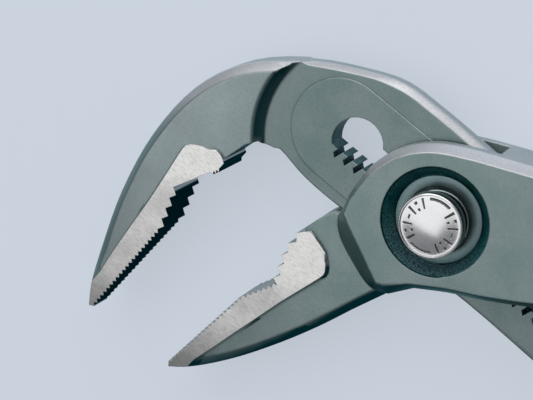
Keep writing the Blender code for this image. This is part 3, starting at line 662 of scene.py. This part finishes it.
# The button: a turned cap with a thin raised rim, a domed middle and sunk marks round it, in mm
button = {
    "radius": 5.6, "foot": 8.3, "ceiling": 9.0, "hub": 3.3, "skirt": 0.5,
    "hole": 2.2, "holeTop": 9.9,
    "shoulder": 9.9, "rimTop": 10.2, "rimWidth": 0.32, "rimAngles": (25, 50, 75),
    "faceInset": 0.3, "bandLevel": 9.86,
    "domeTop": 10.55, "domeRadius": 5.0, "domePower": 1.3,
    "rings": 44, "steps": 288, "sharpAngle": 40,
    "markDepth": 0.2,
    # middle angle and half angle in degrees, lowest and highest radius, twice round the button
    "marks": [
        (88, 23, 4.45, 4.7), (128, 2.0, 3.1, 4.7), (145, 3.6, 3.1, 3.45), (145, 3.6, 4.3, 4.65),
        (162, 2.0, 3.1, 4.7), (180, 5.5, 3.8, 4.05), (198, 2.0, 3.1, 4.7), (215, 3.6, 3.1, 3.45),
        (215, 3.6, 4.3, 4.65), (232, 2.0, 3.1, 4.7),
    ],
}
buttonFinishes = ("bright", "grooveFloor")


def buttonLevel(radius):
    if radius > button["radius"] - button["rimWidth"]:
        return button["rimTop"]
    share = min(radius / button["domeRadius"], 1)
    rise = (1 - share ** 2) ** button["domePower"]
    return button["bandLevel"] + (button["domeTop"] - button["bandLevel"]) * rise


def inMark(radius, angle):
    for middle, half, low, high in button["marks"]:
        if low < radius < high and abs((angle - middle + 90) % 180 - 90) < half:
            return True
    return False


def makeButton():
    outer, hub, hole = (button[key] for key in ("radius", "hub", "hole"))
    foot, ceiling, shoulder = (button[key] for key in ("foot", "ceiling", "shoulder"))
    skirt = outer - button["skirt"]
    profile = [
        (hole, foot), (hub, foot), (hub, ceiling), (skirt, ceiling), (skirt, foot),
        (outer, foot), (outer, shoulder)]
    bend = button["rimTop"] - shoulder
    for angle in button["rimAngles"]:
        turn = math.radians(angle)
        profile.append((outer - bend * (1 - math.cos(turn)), shoulder + bend * math.sin(turn)))
    for k in range(button["rings"] + 1):
        radius = (outer - button["faceInset"]) * (1 - k / button["rings"])
        profile.append((radius, buttonLevel(radius)))
    profile += [(0, button["holeTop"]), (hole, button["holeTop"])]
    bm = turnedPiece(profile, button["steps"])
    sunk = set()
    for vert in bm.verts:
        place = (vert.co - pivot) / mm
        angle = math.degrees(math.atan2(place.y, place.x)) % 360
        if place.z > shoulder and inMark(place.xy.length, angle):
            vert.co.z -= button["markDepth"] * mm
            sunk.add(vert)
    for face in bm.faces:
        inGroove = all(vert in sunk for vert in face.verts)
        face.material_index = buttonFinishes.index("grooveFloor" if inGroove else "bright")
    piece = newObject("pushButton", bm)
    adopt(piece, "push_button", "lock_bolt", buttonFinishes, button["sharpAngle"])


# The bolt keeps the CAD's own teeth and stem
bolt = {"sharpAngle": 35}


def makeBolt():
    piece = newObject("jointBolt", flatsJoined(mergedCopy("joint_bolt")))
    adopt(piece, "joint_bolt", "lock_bolt", ("darkSteel",), bolt["sharpAngle"])
    weighted(piece)


# The spring: one round wire wound on a cone, squashed by the button
spring = {
    "wire": 0.7,
    "footDiameter": 10.4,
    "headDiameter": 8.6,
    "low": 5.45,
    "high": 8.35,
    "turns": 2.25,
    "perTurn": 36,
    "roundness": 3,
    "fixedEnd": 12.6,  # mm above the floor
    "keep": 0.17,
    "sharpAngle": 50,
}


# The wire's middle line, with a short straight end at either side
def springLine():
    wire, low, high = (spring[key] for key in ("wire", "low", "high"))
    foot, head = spring["footDiameter"], spring["headDiameter"]
    count = round(spring["turns"] * spring["perTurn"])
    points = []
    for k in range(count + 1):
        share = k / count
        radius = (foot + (head - foot) * share) / 2
        angle = math.tau * spring["turns"] * share
        height = low + (high - low) * share
        place = Vector((math.cos(angle) * radius, math.sin(angle) * radius, height))
        points.append(pivot + place * mm)
    last = math.tau * spring["turns"]
    points.insert(0, points[0] - Vector((0, wire, 0)) * mm)
    points.append(points[-1] + Vector((-math.sin(last), math.cos(last), 0)) * wire * mm)
    return points


def makeSpring():
    points = springLine()
    curve = bpy.data.curves.new("buttonSpring", "CURVE")
    curve.dimensions = "3D"
    curve.bevel_depth = spring["wire"] / 2 * mm
    curve.bevel_resolution = spring["roundness"]
    curve.use_fill_caps = True
    line = curve.splines.new("POLY")
    line.points.add(len(points) - 1)
    for knot, place in zip(line.points, points):
        knot.co = (*place, 1)
    wound = bpy.data.objects.new("wound", curve)
    bpy.context.scene.collection.objects.link(wound)
    solid = wound.evaluated_get(bpy.context.evaluated_depsgraph_get())
    bm = bmesh.new()
    bm.from_mesh(bpy.data.meshes.new_from_object(solid))
    bpy.data.objects.remove(wound)
    bmesh.ops.remove_doubles(bm, verts=bm.verts, dist=joining["nearest"] * mm)
    bmesh.ops.recalc_face_normals(bm, faces=bm.faces)
    piece = newObject("buttonSpring", bm)
    adopt(piece, "button_spring", "joint_seat", ("wire",), spring["sharpAngle"])
    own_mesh(piece)


# The grips: smooth dipped sleeves, sharp only at the bore
grips = {
    "quadAngle": 40,  # degrees between two triangles that make one face
    "creaseAngle": 62,  # degrees at an edge that stays sharp
    "sharpAngle": 60,
    "levels": 2,
}


def makeGrips():
    for node, name, body in (("lower_grip", "lowerGrip", "rack_side"),
                             ("upper_grip", "upperGrip", "box_side")):
        bm = mergedCopy(node)
        bmesh.ops.join_triangles(bm, faces=bm.faces, angle_shape_threshold=math.pi,
                                 angle_face_threshold=math.radians(grips["quadAngle"]))
        crease = bm.edges.layers.float.new("crease_edge")
        for edge in bm.edges:
            if edge.calc_face_angle(0) > math.radians(grips["creaseAngle"]):
                edge[crease] = 1.0
        piece = newObject(name, bm)
        adopt(piece, node, body, ("vinyl",), grips["sharpAngle"])
        smooth = piece.modifiers.new("smooth", "SUBSURF")
        smooth.levels = smooth.render_levels = grips["levels"]


makeCamera()
makeFloor()
makeLight()
print("stage: camera, floor and light")
materials = {name: steel(name, look) for name, look in steels.items()}
materials["vinyl"] = dippedVinyl()
print("stage:", len(materials), "materials")
makeLevers()
makeSeatRing()
makeButton()
makeBolt()
makeSpring()
makeGrips()
